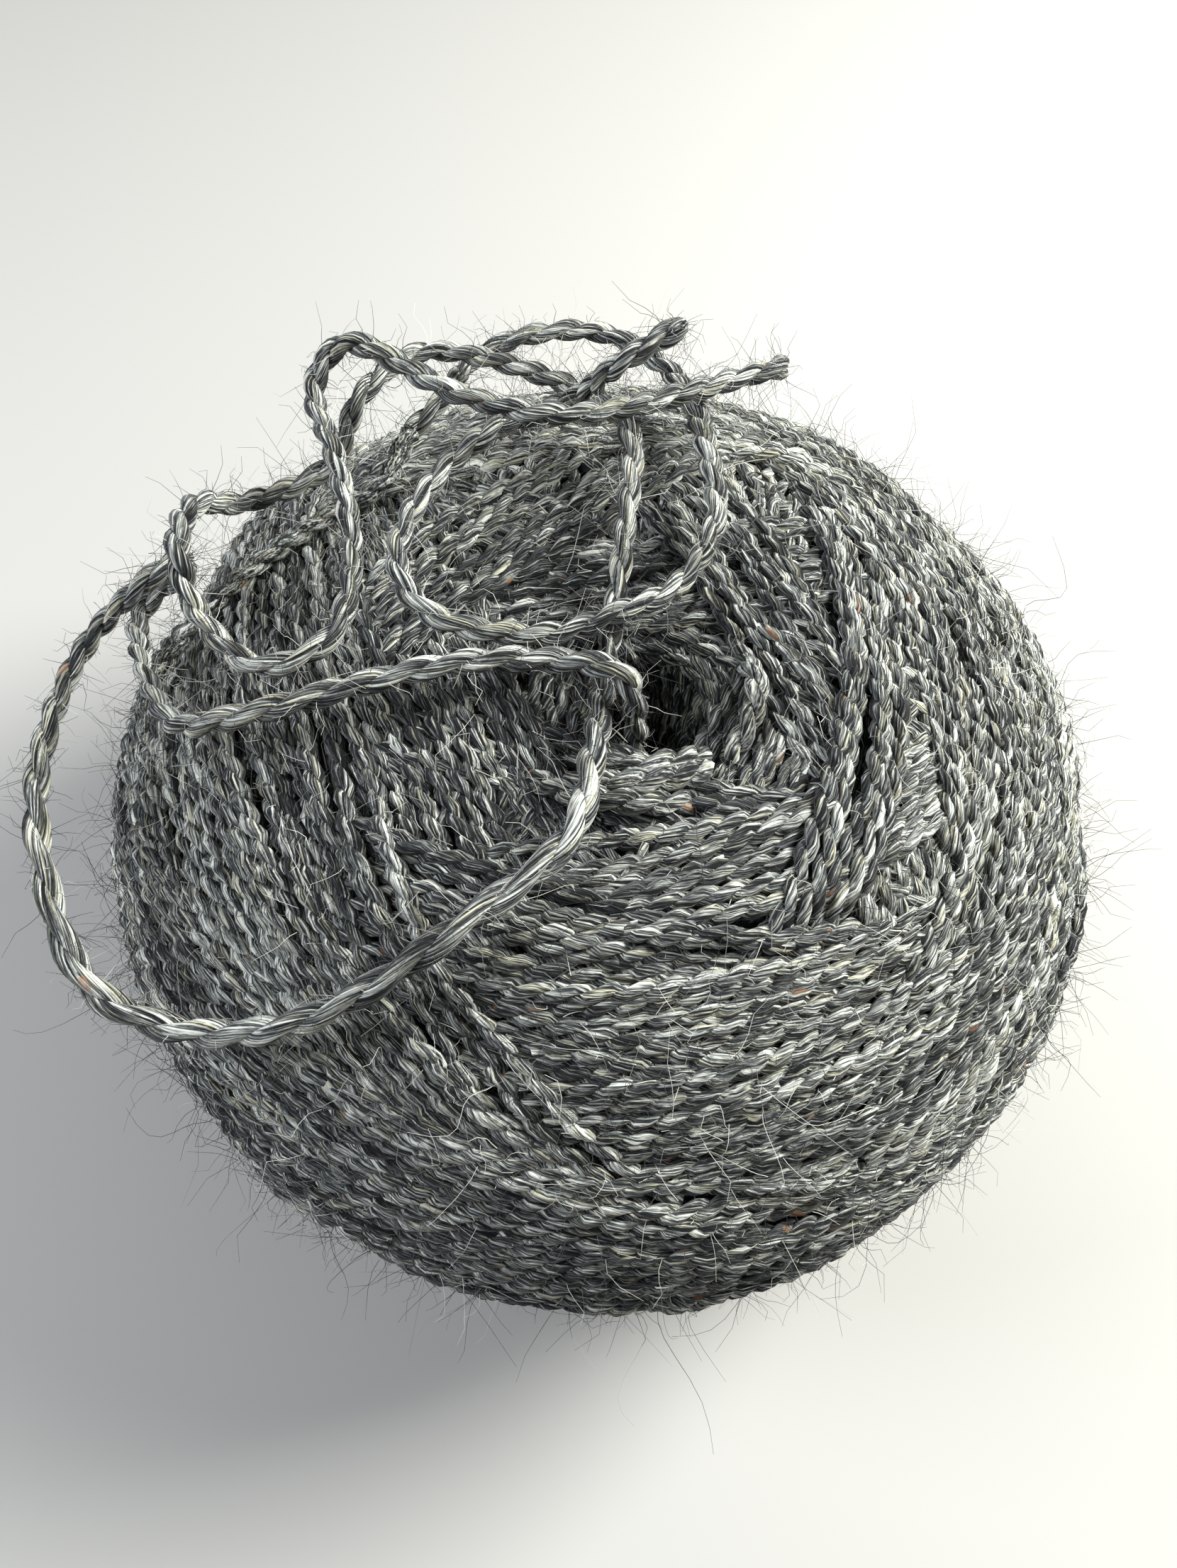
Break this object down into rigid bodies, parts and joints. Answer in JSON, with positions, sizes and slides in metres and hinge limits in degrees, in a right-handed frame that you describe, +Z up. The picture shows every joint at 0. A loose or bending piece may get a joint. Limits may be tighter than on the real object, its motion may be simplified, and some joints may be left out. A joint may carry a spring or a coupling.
{
  "type": "ball of yarn",
  "caption": "Squat hand-wound centre-pull ball of heathered grey two-ply alpaca yarn, with its inner and outer ends lying in loose loops over the top",
  "frame": {"origin": "on the surface that the ball rests on, under the middle of the wound ball's box", "axes": "+Z up along the ball's short axis and out of its pull hole; -Y towards the side seen nearest in the picture; +X to the right in it"},
  "size_m": [0.1108, 0.1082, 0.0841],
  "materials": {
    "wound_yarn": "heathered grey two-ply alpaca yarn, hairy and matte",
    "loose_yarn": "heathered grey two-ply alpaca yarn, hairy and matte"
  },
  "bodies": {
    "root": {"ball": "wound_yarn", "centre_tail": "loose_yarn", "outer_tail": "loose_yarn"}
  },
  "joints": []
}
